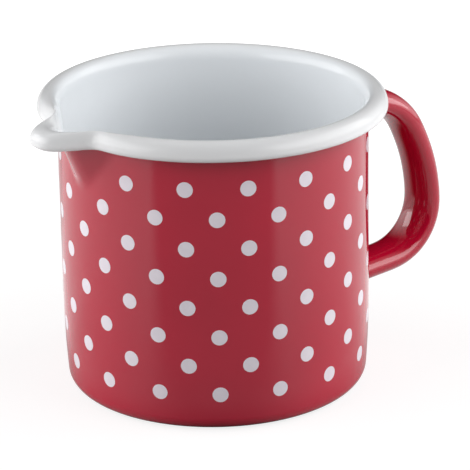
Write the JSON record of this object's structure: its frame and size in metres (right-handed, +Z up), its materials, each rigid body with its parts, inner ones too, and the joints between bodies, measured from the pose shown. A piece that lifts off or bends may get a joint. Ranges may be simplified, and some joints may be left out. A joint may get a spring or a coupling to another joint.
{
  "type": "enamel saucepan",
  "caption": "Tall straight-sided enamel saucepan with a pressed pouring spout, a rolled white rim and a hollow loop handle, red with white dots outside and white inside.",
  "frame": {"origin": "centre of the base, on the surface that the pot stands on", "axes": "+X from the pot's axis towards the handle, with the spout on -X; +Z up along the pot's axis"},
  "size_m": [0.1879, 0.1342, 0.1173],
  "materials": {
    "steel": "cold-rolled sheet, hidden under the enamel",
    "white_enamel": "glossy white enamel",
    "red_enamel": "glossy red enamel with a printed pattern of white dots",
    "ground_enamel": "dark ground enamel",
    "handle_enamel": "glossy red enamel"
  },
  "bodies": {
    "root": {"body_steel": "steel", "white_enamel": "white_enamel", "red_enamel": "red_enamel", "base_enamel": "ground_enamel", "handle_steel": "steel", "handle_enamel": "handle_enamel", "upper_weld": "handle_enamel", "lower_weld": "handle_enamel"}
  },
  "joints": []
}
